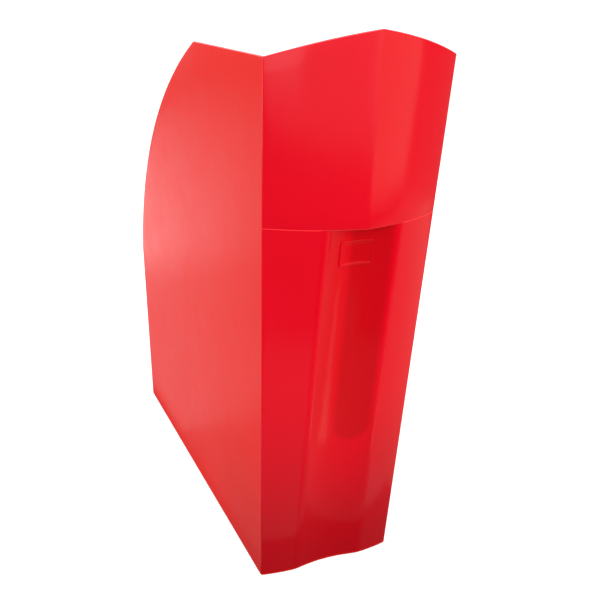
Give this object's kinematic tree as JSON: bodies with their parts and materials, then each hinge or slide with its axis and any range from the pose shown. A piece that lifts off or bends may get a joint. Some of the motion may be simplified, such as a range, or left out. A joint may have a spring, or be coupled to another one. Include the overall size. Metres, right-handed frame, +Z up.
{
  "type": "magazine file holder",
  "caption": "Upright magazine file with a bowed, creased spine, a finger channel under a pull lip, and a low curved open end, for standing A4 papers on a shelf or desk.",
  "frame": {"origin": "middle of the bounding box in plan, on the underside of the base plate", "axes": "+Z up; -Y is the closed spine with the finger channel; +Y is the low open end; +X is the right side wall seen from the spine"},
  "size_m": [0.105, 0.2658, 0.315],
  "materials": {
    "moulding": "translucent red, gloss outside with a faint satin grain on the side walls",
    "badge": "same red moulding, blank raised plate"
  },
  "bodies": {
    "root": {"base_plate": "moulding", "left_side_wall": "moulding", "right_side_wall": "moulding", "rear_wall": "moulding", "upper_spine_left": "moulding", "upper_spine_right": "moulding", "lower_spine_left": "moulding", "lower_spine_right": "moulding", "finger_channel": "moulding", "finger_pull_lip": "moulding", "name_badge": "badge"}
  },
  "joints": []
}
